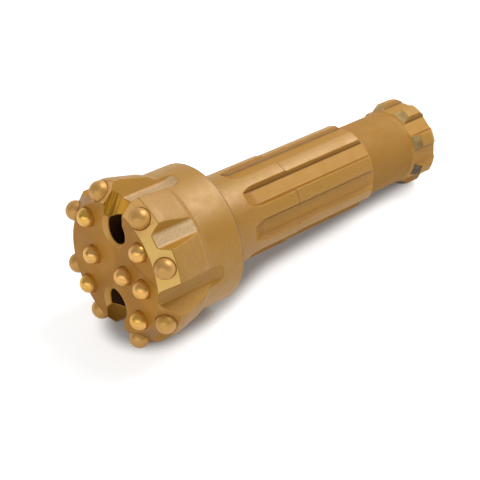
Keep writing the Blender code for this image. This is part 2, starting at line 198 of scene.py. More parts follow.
class FinishColours(bpy.types.PropertyGroup):
    coat: colour("Coat", (0.395, 0.185, 0.004), "Gold-bronze coat on the turned steel")
    coat_warm: colour("Warm coat", (0.42, 0.19, 0.015), "Redder places in the coat")
    # The land's paler tone is a smoother coat there, and partly a painted highlight on that band
    land: colour("Land", (0.455, 0.245, 0.06), "Paler, smoother coat on the gauge's land")
    face: colour("Face", (0.49, 0.205, 0.008), "Coat on the drilling face")
    # Deep face: deeper random places in the face's coat, and the painted shade on the bevel's underside
    deep_face_and_bevel_shade: colour("Deep face", (0.30, 0.12, 0.002), "Deeper places in the face's coat")
    # The bevel's bright and warm stretches are painted light: a painted highlight on the side towards the
    # fill strip and painted light over its top
    bevel: colour("Bevel", (0.42, 0.18, 0.018), "Coat on the bevel")
    bevel_painted_highlight: colour("Bright bevel", (0.80, 0.50, 0.12), "Yellower stretch of the bevel")
    bevel_painted_light: colour("Warm bevel", (0.80, 0.44, 0.13), "Warmer stretch at the top of the bevel")
    # Flute floor: a paler floor coat, and in part a painted highlight that grows towards the top
    flute_floor_and_highlight: colour("Flute floor", (0.57, 0.40, 0.22), "Paler coat on the flute floors")
    flute_wall: colour("Flute wall", (0.40, 0.18, 0.001), "Deeper coat on the flute walls")
    seat: colour("Ring seat", (0.30, 0.13, 0.002), "Duller coat where the retaining rings sit")
    groove_floor: colour("Groove floor", (0.42, 0.20, 0.02), "Coat on the spline groove floors")
    # Groove wall: a darker coat on the groove walls as painted shade; also the painted shade at the neck's
    # foot and behind the gauge
    groove_wall_shade: colour("Groove wall", (0.31, 0.128, 0.0), "Darker coat on the spline groove walls")
    # Dark tone for the painted shade lines in corners and at steps and edges, and for the coat's dark specks
    shade_line_and_speck: colour("Crease", (0.14, 0.057, 0.0), "Dark line in the corner of a groove")
    channel: colour("Channel", (0.82, 0.43, 0.04), "Bright gold coat in the flushing channels")
    # Dark tone for the painted shade in the channels and the sockets and the holes' second tone, broken by
    # streaks in the channels
    channel_shade_and_streaks: colour("Channel streaks", (0.115, 0.036, 0.0), "Dark streaks in the channels")
    mouth: colour("Mouth", (0.70, 0.35, 0.05), "Coat on the countersunk mouths")
    # Air way: a near-black painted shade inside the flushing holes
    air_way: colour("Air way", (0.012, 0.005, 0.001), "Dark coat in the flushing holes")
    # Edge: a paler coat on the worn edges, partly a painted highlight
    edge: colour("Edge", (0.44, 0.22, 0.03), "Paler coat on the worn edges")
    button: colour("Button", (0.56, 0.31, 0.07), "Satin coat on the gauge buttons")
    button_warm: colour("Warm button", (0.58, 0.30, 0.12), "Pinker places on the gauge buttons")
    face_button: colour("Face button", (0.70, 0.405, 0.075), "Glossier coat on the face buttons")
    face_button_warm: colour("Warm face button", (0.73, 0.39, 0.14), "Pinker places on the face buttons")
    bare: colour("Bare steel", (0.48, 0.31, 0.09), "Bare patches on the rear lugs")
    # A near-black tone on the lug ramp patches and the neck marks, heavier towards the bottom
    dark_patch_tone: colour("Stain", (0.03, 0.018, 0.004), "Dark stains on the rear lugs")
    floor: colour("Floor", (0.62, 0.62, 0.62), "Studio floor")


def stations(scene):
    """Radii and depths that follow from the sizes; each depth is the end of its stretch."""
    head = scene.bit_head
    shank = scene.bit_shank
    at = SimpleNamespace()
    at.gauge_radius = head.face_radius + head.bevel_width
    at.rear_radius = at.gauge_radius - head.taper_drop
    at.long_floor = at.gauge_radius - scene.bit_flutes.long_depth
    at.short_floor = at.gauge_radius - scene.bit_flutes.short_depth
    at.land = head.bevel_depth + head.land_length
    at.gauge_rear = at.land + head.taper_length
    at.shoulder = at.gauge_rear + head.skirt_length
    at.step = at.shoulder + shank.neck_length
    at.spline_end = at.step + shank.spline_length
    at.retainer = at.spline_end + shank.spline_ramp
    at.collar = at.retainer + shank.retainer_length
    at.lug_ramp = at.collar + shank.collar_step
    at.lug = at.lug_ramp + shank.lug_ramp
    at.lug_end = at.lug + shank.lug_length
    at.tail = at.lug_end + shank.lug_chamfer
    at.bevel_angle = math.atan2(head.bevel_depth, head.bevel_width)
    return at


def rest_matrix(tail_depth):
    """From the upright bit, face up at zero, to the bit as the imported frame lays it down."""
    mount = next(item for item in frame["record"]["mounts"] if item["name"] == "strike_face")
    axis = Vector(mount["axis"]).normalized()
    across = Vector((0, 1, 0))
    up = across.cross(-axis)
    face = Vector(mount["pos_m"]) - up * MOUNT_INSET - axis * tail_depth
    matrix = Matrix((up, across, -axis)).transposed().to_4x4()
    matrix.translation = face
    return matrix


# Modelling by hand

def deselect_all():
    bpy.ops.object.select_all(action="DESELECT")


def select_only(item):
    deselect_all()
    item.select_set(True)
    bpy.context.view_layer.objects.active = item


def draw_chain(name, points):
    """Edges drawn from point to point, left selected in edit mode."""
    deselect_all()
    bpy.ops.mesh.primitive_plane_add(size=MM, enter_editmode=True, location=(0, 0, 0))
    item = bpy.context.object
    item.name = name
    bpy.ops.mesh.merge(type="CENTER")
    bpy.ops.transform.translate(value=points[0])
    for before, after in zip(points, points[1:]):
        bpy.ops.mesh.extrude_vertices_move(TRANSFORM_OT_translate={"value": after - before})
    bpy.ops.mesh.select_all(action="SELECT")
    return item


def close_shell():
    """Merge doubles, face outwards and leave edit mode."""
    bpy.ops.mesh.select_all(action="SELECT")
    bpy.ops.mesh.remove_doubles(threshold=MERGE_DISTANCE)
    bpy.ops.mesh.normals_make_consistent(inside=False)
    bpy.ops.object.mode_set(mode="OBJECT")


def turn_on_lathe(name, outline, steps):
    """A round turned about Z from (radius, height) points that run down its outer side."""
    item = draw_chain(name, [Vector((radius, 0, height)) for radius, height in outline])
    bpy.ops.mesh.spin(steps=steps, angle=FULL_TURN, center=(0, 0, 0), axis=(0, 0, 1))
    close_shell()
    return item


def draw_bar(name, outline, low, high):
    """A bar of an (across, up) outline between two heights."""
    item = draw_chain(name, [Vector((across, up, low)) for across, up in outline])
    bpy.ops.mesh.edge_face_add()
    bpy.ops.mesh.extrude_region_move(TRANSFORM_OT_translate={"value": (0, 0, high - low)})
    close_shell()
    return item


def around(turn):
    return Matrix.Rotation(turn, 4, "Z")


def evenly(number, start=0.0):
    return [start + FULL_TURN * step / number for step in range(number)]


def file_away(item, collection):
    for home in list(item.users_collection):
        home.objects.unlink(item)
    collection.objects.link(item)


def copies_around(item, turns, collection):
    """The item and its copies, each with its own mesh, turned about the bit's axis."""
    first = item.matrix_world.copy()
    for index, turn in enumerate(turns):
        twin = item
        if index:
            twin = item.copy()
            twin.data = item.data.copy()
        file_away(twin, collection)
        twin.matrix_world = around(turn) @ first


def finish_piece(item, rest):
    """Lay a piece down into the frame, with its place in its mesh."""
    item.matrix_world = rest @ item.matrix_world
    select_only(item)
    bpy.ops.object.transform_apply(location=True, rotation=True, scale=True)
    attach(item, "root")


def apply_modifier(item, modifier):
    select_only(item)
    bpy.ops.object.modifier_apply(modifier=modifier.name)


def rounded(corners, steps):
    """Points along a path of (across, up, radius) corners, with an arc at each rounded corner."""
    points = []
    for index, (across, up, radius) in enumerate(corners):
        corner = Vector((across, up))
        if radius == 0:
            points.append(corner)
            continue
        back = (Vector(corners[index - 1][:2]) - corner).normalized()
        ahead = (Vector(corners[(index + 1) % len(corners)][:2]) - corner).normalized()
        half = back.angle(ahead) / 2
        centre = corner + (back + ahead).normalized() * radius / math.sin(half)
        first = corner + back * radius / math.tan(half) - centre
        sweep = first.angle_signed(corner + ahead * radius / math.tan(half) - centre)
        for step in range(steps + 1):
            spoke = first.copy()
            spoke.rotate(Matrix.Rotation(-sweep * step / steps, 2))
            points.append(centre + spoke)
    return points


# The body

BODY_STEPS = 192
CUTTER_STEPS = 96
DRILL_STEPS = 72
BUTTON_STEPS = 48
NOSE_STEPS = 10
FLANK_STEPS = 8
ARC_STEPS = 6
OVERCUT = 4 * MM
STITCH = 0.12 * MM
EDGE_BREAK = 0.4 * MM
STEP_RUN = 0.5 * MM
SEAT_FILLET = 1.5 * MM
SHARP_ANGLE = math.radians(21)
FLAT_ANGLE = math.radians(0.25)
BUTTON_SMOOTH_ANGLE = math.radians(30)
LEVEL = 0.99999

# A place off the bit's planes of symmetry, from which no two vertices are equally far
SORT_PLACE = (0.131, 0.047, 0.093)

# Share of a lathe step by which the body is turned, so that its edges lie clear of the cutters' own
CLEAR_TURN = 0.38


def body_outline(scene, at):
    head = scene.bit_head
    shank = scene.bit_shank
    corners = [
        (0, 0, 0),
        (head.face_radius, 0, 0),
        (at.gauge_radius, -head.bevel_depth, 0),
        (at.gauge_radius, -at.land, head.land_round),
        (at.rear_radius, -at.gauge_rear, head.rear_round),
        (head.skirt_radius, -at.gauge_rear - head.rear_run, head.rear_fillet),
        (head.skirt_radius, -at.shoulder, head.skirt_edge),
        (shank.neck_radius, -at.shoulder, shank.neck_fillet),
        (shank.neck_radius, -at.step, 0),
        (shank.spline_radius, -at.step - STEP_RUN, 0),
        (shank.spline_radius, -at.spline_end, 0),
        (shank.retainer_radius, -at.retainer, SEAT_FILLET),
        (shank.retainer_radius, -at.collar, 0),
        (shank.collar_radius, -at.lug_ramp, 0),
        (shank.lug_radius, -at.lug, 0),
        (shank.lug_radius, -at.lug_end, 0),
        (shank.tail_radius, -at.tail, 0),
        (0, -at.tail, 0),
    ]
    return rounded(corners, ARC_STEPS)


def cutter_section(half_width, wall_angle, corner_radius, height):
    """Half of a form cutter's section as (half width, height over the floor), floor first."""
    spread = height * math.tan(wall_angle)
    corners = [
        (0, 0, 0),
        (half_width, 0, corner_radius),
        (half_width + spread, height, 0),
        (0, height, 0),
    ]
    return rounded(corners, ARC_STEPS)[1:-1]


def mill_slots(name, section, floor_radius, near, far, wheel_depth, turns, collection):
    """Straight slots round the bit and, where they run out, the disc of their cutter."""
    outline = [(-across, floor_radius + up) for across, up in reversed(section)]
    outline += [(across, floor_radius + up) for across, up in section]
    bar = draw_bar(name + "_bar", outline, -far, -near)
    bar.matrix_world = around(-math.pi / 2)
    cutters = [bar]
    if wheel_depth is not None:
        wheel_radius = bpy.context.scene.bit_flutes.cutter_radius
        rim = [(wheel_radius - up, across) for across, up in section]
        profile = [(0, rim[-1][1])] + list(reversed(rim))
        profile += [(radius, -half) for radius, half in rim] + [(0, -rim[-1][1])]
        wheel = turn_on_lathe(name + "_wheel", profile, CUTTER_STEPS)
        centre = Matrix.Translation((0, floor_radius + wheel_radius, -wheel_depth))
        wheel.matrix_world = around(-math.pi / 2) @ centre @ Matrix.Rotation(math.pi / 2, 4, "Y")
        cutters.append(wheel)
    for cutter in cutters:
        copies_around(cutter, turns, collection)


def mill_flutes(scene, at, collection):
    flutes = scene.bit_flutes
    form = (flutes.half_width, flutes.wall_angle, flutes.corner)
    turns = evenly(flutes.count)
    half_pitch = FULL_TURN / (2 * flutes.count)
    section = cutter_section(*form, flutes.long_depth + OVERCUT)
    mill_slots("long_flute", section, at.long_floor, -OVERCUT, flutes.long_end, flutes.long_end,
               turns, collection)
    section = cutter_section(*form, flutes.short_depth + OVERCUT)
    mill_slots("short_flute", section, at.short_floor, -OVERCUT, at.gauge_rear + scene.bit_head.rear_run,
               None, [turn + half_pitch for turn in turns], collection)


def mill_grooves(scene, at, collection):
    splines = scene.bit_splines
    shank = scene.bit_shank
    reach = max(shank.neck_radius, shank.spline_radius, shank.lug_radius) - splines.floor_radius + OVERCUT
    section = cutter_section(splines.half_width, splines.wall_angle, splines.corner, reach)
    mill_slots("spline_groove", section, splines.floor_radius, splines.start, at.tail + OVERCUT,
               splines.start, evenly(splines.count, splines.turn), collection)


def drill_air_way(scene, at, collection):
    air = scene.bit_air_way
    point = math.tan(air.point_angle)
    bore = turn_on_lathe("air_bore", [
        (0, -air.bore_end + air.bore_radius / point),
        (air.bore_radius, -air.bore_end),
        (air.bore_radius, -at.tail + air.bore_chamfer),
        (air.bore_radius + air.bore_chamfer + OVERCUT, -at.tail - OVERCUT),
        (0, -at.tail - OVERCUT),
    ], DRILL_STEPS)
    file_away(bore, collection)
    reach = (air.bore_end + air.bore_radius) / math.cos(air.hole_lean)
    hole = turn_on_lathe("flushing_hole", [
        (0, OVERCUT),
        (air.hole_radius, OVERCUT),
        (air.hole_radius, -reach),
        (0, -reach - air.hole_radius / point),
    ], DRILL_STEPS)
    lean = Matrix.Rotation(air.hole_lean, 4, "Y")
    hole.matrix_world = Matrix.Translation((air.hole_offset, 0, 0)) @ lean
    slope = (air.mouth_radius - air.hole_radius) / air.mouth_depth
    mouth = turn_on_lathe("hole_mouth", [
        (0, OVERCUT),
        (air.mouth_radius + OVERCUT * slope, OVERCUT),
        (air.hole_radius, -air.mouth_depth),
        (0, -air.mouth_depth),
    ], DRILL_STEPS)
    mouth.matrix_world = Matrix.Translation((air.mouth_offset, 0, 0))
    channel = draw_channel(scene, at)
    for cutter, coat in ((hole, "air_way_painted_shade"), (mouth, "mouth_coat"), (channel, "channel_coat")):
        cutter.data.materials.append(finish(coat))
        copies_around(cutter, evenly(air.hole_count), collection)


def draw_channel(scene, at):
    """A round-bottomed bar from a flushing hole out and back into its flute."""
    air = scene.bit_air_way
    start = Vector((air.hole_offset, 0, 0))
    direction = Vector((math.cos(air.channel_lean), 0, -math.sin(air.channel_lean)))
    normal = Vector((math.sin(air.channel_lean), 0, math.cos(air.channel_lean)))
    floor = (Vector((at.long_floor, 0, -air.channel_exit)) - start).dot(normal)
    reach = (at.gauge_radius - air.hole_offset) / math.cos(air.channel_lean) + scene.bit_head.bevel_depth
    top = OVERCUT + reach * math.sin(air.channel_lean)
    half = air.channel_half_width
    outline = [(half, top), (-half, top)]
    for step in range(DRILL_STEPS // 2 + 1):
        turn = math.pi + FULL_TURN * step / DRILL_STEPS
        outline.append((half * math.cos(turn), floor + half + half * math.sin(turn)))
    channel = draw_bar("channel", outline, 0, reach)
    axes = Matrix((Vector((0, 1, 0)), normal, direction)).transposed().to_4x4()
    channel.matrix_world = Matrix.Translation(start) @ axes
    return channel


def button_seats(scene, at):
    """Each button's name, its seat in the upright bit, and its radius, height and depth."""
    sizes = scene.bit_buttons
    head = scene.bit_head
    gauge = (sizes.gauge_radius, sizes.gauge_height, sizes.gauge_depth)
    face = (sizes.face_radius, sizes.face_height, sizes.face_depth)
    seats = []
    seat_depth = sizes.gauge_outset * math.tan(at.bevel_angle)
    outward = Matrix.Translation((head.face_radius + sizes.gauge_outset, 0, -seat_depth))
    outward @= Matrix.Rotation(at.bevel_angle, 4, "Y")
    flute_count = scene.bit_flutes.count
    for index, middle in enumerate(evenly(flute_count, FULL_TURN / (2 * flute_count))):
        spread = sizes.open_spread if index % 2 == 0 else sizes.close_spread
        for turn in (middle - spread, middle + spread):
            seats.append((f"gauge_button_{len(seats) + 1}", around(turn) @ outward, gauge))
    corner_x = (head.face_radius - sizes.corner_inset) * math.cos(sizes.corner_angle)
    corner_y = (head.face_radius - sizes.corner_inset) * math.sin(sizes.corner_angle)
    lowest = sizes.lower_inset - head.face_radius
    places = [(x, y) for x in (corner_x, -corner_x) for y in (corner_y, -corner_y)]
    places += [(0, head.face_radius - sizes.upper_inset), (0, lowest + sizes.lower_pitch), (0, lowest)]
    for index, (x, y) in enumerate(places):
        seats.append((f"face_button_{index + 1}", Matrix.Translation((x, y, 0)), face))
    return seats


def bore_sockets(scene, at, collection):
    clearance = scene.bit_buttons.clearance
    drills = {}
    for name, seat, (radius, height, depth) in button_seats(scene, at):
        wide = radius + clearance
        deep = -depth - clearance
        if wide not in drills:
            outline = [(0, OVERCUT), (wide, OVERCUT), (wide, deep), (0, deep)]
            twin = turn_on_lathe("socket", outline, BUTTON_STEPS)
            drills[wide] = twin
        else:
            twin = drills[wide].copy()
            twin.data = drills[wide].data.copy()
        file_away(twin, collection)
        twin.name = name + "_socket"
        twin.matrix_world = seat


def join_flat_ends(body):
    """Make each flat end of the turned body one face, so that no fan is left between the cuts."""
    select_only(body)
    bpy.context.tool_settings.mesh_select_mode = (False, False, True)
    bpy.ops.object.mode_set(mode="EDIT")
    bpy.ops.mesh.select_all(action="DESELECT")
    bpy.ops.object.mode_set(mode="OBJECT")
    for polygon in body.data.polygons:
        polygon.select = abs(polygon.normal.z) > LEVEL
    bpy.ops.object.mode_set(mode="EDIT")
    bpy.ops.mesh.dissolve_limited(angle_limit=FLAT_ANGLE)
    bpy.ops.object.mode_set(mode="OBJECT")
    bpy.context.tool_settings.mesh_select_mode = (True, False, False)


def sort_mesh(item):
    """Put the mesh's elements in one order, because a Boolean leaves them in another on each run."""
    cursor = bpy.context.scene.cursor
    cursor.location = SORT_PLACE
    select_only(item)
    bpy.ops.object.mode_set(mode="EDIT")
    bpy.ops.mesh.select_all(action="SELECT")
    bpy.ops.mesh.sort_elements(type="CURSOR_DISTANCE", elements={"VERT", "EDGE", "FACE"})
    bpy.ops.object.mode_set(mode="OBJECT")
    cursor.location = (0, 0, 0)


def cut(body, name, collection, material):
    """Cut a collection of cutters out of the body, their finish on the cut faces."""
    for cutter in collection.objects:
        if not cutter.data.materials:
            cutter.data.materials.append(material)
    boolean = body.modifiers.new(name, "BOOLEAN")
    boolean.operation = "DIFFERENCE"
    boolean.operand_type = "COLLECTION"
    boolean.collection = collection
    boolean.solver = "EXACT"
    boolean.material_mode = "TRANSFER"
    apply_modifier(body, boolean)
    sort_mesh(body)
    for cutter in list(collection.objects):
        bpy.data.objects.remove(cutter, do_unlink=True)
    bpy.data.collections.remove(collection)


def refill_end(body, height):
    """Fill a flat end afresh between its rim and the rims of its holes."""
    coat = None
    for polygon in body.data.polygons:
        level = abs(polygon.normal.z) > LEVEL and abs(polygon.center.z - height) < MERGE_DISTANCE
        polygon.select = level
        if level:
            coat = polygon.material_index
    bpy.context.tool_settings.mesh_select_mode = (False, False, True)
    bpy.ops.object.mode_set(mode="EDIT")
    bpy.ops.mesh.delete(type="ONLY_FACE")
    bpy.ops.mesh.select_mode(type="EDGE")
    bpy.ops.mesh.delete_loose()
    bpy.ops.mesh.select_all(action="DESELECT")
    bpy.ops.mesh.select_non_manifold(extend=False, use_wire=False, use_boundary=True, use_multi_face=False,
                                     use_non_contiguous=False, use_verts=False)
    bpy.ops.mesh.fill(use_beauty=True)
    bpy.context.object.active_material_index = coat
    bpy.ops.object.material_slot_assign()
    bpy.ops.mesh.select_all(action="SELECT")
    bpy.ops.mesh.delete_loose()
    bpy.ops.mesh.normals_make_consistent(inside=False)
    bpy.ops.mesh.select_mode(type="VERT")
    bpy.ops.object.mode_set(mode="OBJECT")


def soften_edges(body, at, edge_material):
    """Break every sharp edge with a narrow worn round, and shade the rest as it lies."""
    select_only(body)
    bpy.ops.object.mode_set(mode="EDIT")
    bpy.ops.mesh.select_all(action="SELECT")
    bpy.ops.mesh.remove_doubles(threshold=STITCH)
    bpy.ops.mesh.dissolve_degenerate(threshold=STITCH / 2)
    bpy.ops.object.mode_set(mode="OBJECT")
    body.data.materials.append(edge_material)
    bevel = body.modifiers.new("Broken edges", "BEVEL")
    bevel.width = EDGE_BREAK
    bevel.segments = 2
    bevel.limit_method = "ANGLE"
    bevel.angle_limit = SHARP_ANGLE
    bevel.use_clamp_overlap = False
    bevel.loop_slide = False
    bevel.miter_outer = "MITER_ARC"
    bevel.material = len(body.data.materials) - 1
    apply_modifier(body, bevel)
    for height in (0, -at.tail):
        refill_end(body, height)
    bpy.ops.object.shade_smooth()
    weighted = body.modifiers.new("Even shading", "WEIGHTED_NORMAL")
    weighted.keep_sharp = True
    apply_modifier(body, weighted)


# Finishes

VECTOR = "NodeSocketVector"
FLOAT = "NodeSocketFloat"
COLOUR = "NodeSocketColor"
SHEEN_TINT = (1.0, 0.95, 0.82, 1)
STREAK_STRETCH = (1, 1, 0.06)
BUMP_DEPTH = 0.05 * MM
FACE_STEP_LEAD = 17.5 * MM
FACE_STEP_TURN = math.radians(13)


def new_material(name):
    material = bpy.data.materials.new(name)
    material.use_nodes = True
    return material, material.node_tree, material.node_tree.nodes["Principled BSDF"]


def fill_sockets(tree, sockets, values):
    """Type each value into its socket, or join it there if it comes from another node."""
    for place, value in values.items():
        if isinstance(value, bpy.types.NodeSocket):
            tree.links.new(value, sockets[place])
        else:
            sockets[place].default_value = value


def new_node(tree, kind, values=None, **settings):
    node = tree.nodes.new("ShaderNode" + kind)
    for name, setting in settings.items():
        setattr(node, name, setting)
    fill_sockets(tree, node.inputs, values or {})
    return node


def maths(tree, operation, *values, clamp=False):
    node = new_node(tree, "Math", dict(enumerate(values)), operation=operation, use_clamp=clamp)
    return node.outputs[0]


def blend_colours(tree, factor, first, second):
    return new_node(tree, "Mix", {0: factor, 6: first, 7: second}, data_type="RGBA").outputs[2]


def scale_colour(tree, colour_socket, tone):
    grey = new_node(tree, "CombineXYZ", {0: tone, 1: tone, 2: tone}).outputs[0]
    return new_node(tree, "VectorMath", {0: colour_socket, 1: grey}, operation="MULTIPLY").outputs[0]


def noise(tree, vector, scale, detail, roughness):
    values = {"Vector": vector, "Scale": scale, "Detail": detail, "Roughness": roughness}
    return new_node(tree, "TexNoise", values).outputs["Fac"]


def between(tree, value, low, high, out_low=0.0, out_high=1.0):
    """A smooth step from one level to another as a value passes from low to high."""
    values = {"Value": value, "From Min": low, "From Max": high, "To Min": out_low, "To Max": out_high}
    return new_node(tree, "MapRange", values, interpolation_type="SMOOTHSTEP").outputs["Result"]


def split_place(tree, kind):
    return new_node(tree, "SeparateXYZ", {0: new_node(tree, "TexCoord").outputs[kind]}).outputs


def new_group(name, inputs, outputs):
    """A node group, and the sockets that it is given and that it hands over."""
    tree = bpy.data.node_groups.new(name, "ShaderNodeTree")
    for way, sockets in (("INPUT", inputs), ("OUTPUT", outputs)):
        for label, kind in sockets.items():
            tree.interface.new_socket(label, in_out=way, socket_type=kind)
    return tree, tree.nodes.new("NodeGroupInput").outputs, tree.nodes.new("NodeGroupOutput").inputs


def place_group(tree, name, values):
    return new_node(tree, "Group", values, node_tree=bpy.data.node_groups[name]).outputs


def build_bit_place(rest):
    """Group: a place on the lying bit read along and round the bit's own axis."""
    tree, given, result = new_group("Bit Place", {"Vector": VECTOR}, {
        "Place": VECTOR, "Place X": FLOAT, "Place Y": FLOAT, "Radius": FLOAT, "Turn": FLOAT,
        "Depth": FLOAT, "Lengthwise": VECTOR,
    })
    back = rest.inverted()
    placing = {"Vector": given["Vector"], "Location": back.translation, "Rotation": back.to_euler("XYZ")}
    upright = new_node(tree, "Mapping", placing).outputs[0]
    x, y, z = new_node(tree, "SeparateXYZ", {0: upright}).outputs
    flat = new_node(tree, "CombineXYZ", {0: x, 1: y}).outputs[0]
    stretched = new_node(tree, "VectorMath", {0: upright, 1: STREAK_STRETCH}, operation="MULTIPLY")
    fill_sockets(tree, result, {
        "Place": upright,
        "Place X": x,
        "Place Y": y,
        "Radius": new_node(tree, "VectorMath", {0: flat}, operation="LENGTH").outputs["Value"],
        "Turn": maths(tree, "DIVIDE", maths(tree, "ARCTAN2", y, x), FULL_TURN),
        "Depth": maths(tree, "MULTIPLY", z, -1.0),
        "Lengthwise": stretched.outputs[0],
    })


def build_slot_place():
    """Group: how far across a place lies from the middle of the nearest slot round the bit."""
    inputs = {"Radius": FLOAT, "Turn": FLOAT, "Count": FLOAT, "Start": FLOAT}
    tree, given, result = new_group("Slot Place", inputs, {"Across": FLOAT})
    slots = maths(tree, "SUBTRACT", maths(tree, "MULTIPLY", given["Turn"], given["Count"]), given["Start"])
    folded = maths(tree, "DIVIDE", maths(tree, "WRAP", slots, 0.5, -0.5), given["Count"])
    sine = maths(tree, "SINE", maths(tree, "MULTIPLY", folded, FULL_TURN))
    fill_sockets(tree, result, {"Across": maths(tree, "MULTIPLY", given["Radius"], sine)})


def build_coat():
    """Group: the coat's clouded colour, its fine pits and its sheen."""
    tree, given, result = new_group("Bronze Coat", {
        "Vector": VECTOR, "Colour": COLOUR, "Second Colour": COLOUR, "Mottle": FLOAT, "Pits": FLOAT,
        "Roughness": FLOAT,
    }, {"Colour": COLOUR, "Roughness": FLOAT, "Height": FLOAT})
    vector = given["Vector"]
    cloud = between(tree, noise(tree, vector, 45.0, 4.0, 0.55), 0.35, 0.68)
    mottle = maths(tree, "MULTIPLY", cloud, given["Mottle"])
    base = blend_colours(tree, mottle, given["Colour"], given["Second Colour"])
    grain = noise(tree, vector, 1100.0, 2.0, 0.55)
    pits = maths(tree, "MULTIPLY", between(tree, grain, 0.52, 0.72), given["Pits"])
    patch = between(tree, noise(tree, vector, 110.0, 3.0, 0.6), 0.3, 0.7, -0.05, 0.05)
    rough = maths(tree, "ADD", given["Roughness"], patch)
    fill_sockets(tree, result, {
        "Colour": scale_colour(tree, base, maths(tree, "SUBTRACT", 1.0, pits)),
        "Roughness": maths(tree, "MULTIPLY_ADD", pits, 0.3, rough, clamp=True),
        "Height": maths(tree, "MULTIPLY", grain, -1.0),
    })


def build_tool_marks():
    """Group: fine streaks left by a cutter, as a tone and a height."""
    inputs = {"Vector": VECTOR, "Scale": FLOAT, "Amount": FLOAT}
    tree, given, result = new_group("Tool Marks", inputs, {"Tone": FLOAT, "Height": FLOAT})
    marks = noise(tree, given["Vector"], given["Scale"], 3.0, 0.65)
    streak = between(tree, marks, 0.3, 0.7, -0.5, 0.5)
    tone = maths(tree, "MULTIPLY_ADD", streak, given["Amount"], 1.0)
    fill_sockets(tree, result, {"Tone": tone, "Height": marks})


class Coat:
    """A coated finish in the making: its colour, roughness and relief grow mask by mask."""

    def __init__(self, name, first, second, mottle=0.6, pits=0.12, roughness=0.5, metallic=0.1,
                 specular=1.0, grain=0.3):
        material, self.tree, self.shader = new_material(name)
        fill_sockets(self.tree, self.shader.inputs, {
            "Metallic": metallic, "Specular IOR Level": specular, "Specular Tint": SHEEN_TINT,
        })
        self.grain = grain
        where = new_node(self.tree, "TexCoord").outputs["Object"]
        self.place = place_group(self.tree, "Bit Place", {"Vector": where})
        coat = place_group(self.tree, "Bronze Coat", {
            "Colour": (*first, 1), "Second Colour": (*second, 1), "Mottle": mottle, "Pits": pits,
            "Roughness": roughness, "Vector": self.place["Place"],
        })
        self.tint = coat["Colour"]
        self.roughness = coat["Roughness"]
        self.height = coat["Height"]

    def ramp(self, value, low, high, out_low=0.0, out_high=1.0):
        return between(self.tree, value, low, high, out_low, out_high)

    def fade(self, value, low, high):
        return self.ramp(value, low, high, 1, 0)

    def cloud(self, scale, detail, roughness, *levels):
        """A mask of soft patches, a ramp over a noise."""
        return self.ramp(noise(self.tree, self.place["Place"], scale, detail, roughness), *levels)

    def both(self, first, second):
        return maths(self.tree, "MULTIPLY", first, second)

    def apart(self, value):
        return maths(self.tree, "ABSOLUTE", value)

    def stretch(self, low, high, soft=0.3 * MM):
        """A mask of the bit between two depths."""
        front = self.ramp(self.place["Depth"], low - soft, low + soft)
        return self.both(front, self.fade(self.place["Depth"], high - soft, high + soft))

    def across(self, number, start):
        """Distance from the middle of the nearest of the slots round the bit."""
        return place_group(self.tree, "Slot Place", {
            "Radius": self.place["Radius"], "Turn": self.place["Turn"],
            "Count": float(number), "Start": start * number / FULL_TURN,
        })["Across"]

    def paint(self, mask, tint, amount=1.0):
        """Blend a tint in where the mask is 1, at most by the amount."""
        if amount < 1:
            mask = self.both(mask, amount)
        value = tint if isinstance(tint, bpy.types.NodeSocket) else (*tint, 1)
        self.tint = blend_colours(self.tree, mask, self.tint, value)

    def roughen(self, mask, amount):
        self.roughness = maths(self.tree, "MULTIPLY_ADD", mask, amount, self.roughness)

    def score(self, scale, amount):
        """Streaks along the bit, as a tone and a relief."""
        values = {"Vector": self.place["Lengthwise"], "Scale": scale, "Amount": amount}
        streaks = place_group(self.tree, "Tool Marks", values)
        self.tint = scale_colour(self.tree, self.tint, streaks["Tone"])
        self.height = maths(self.tree, "ADD", self.height, streaks["Height"])

    def dry(self):
        """Join what has grown to the shader."""
        relief = {"Distance": BUMP_DEPTH, "Strength": self.grain, "Height": self.height}
        fill_sockets(self.tree, self.shader.inputs, {
            "Base Color": self.tint,
            "Roughness": self.roughness,
            "Normal": new_node(self.tree, "Bump", relief).outputs["Normal"],
        })


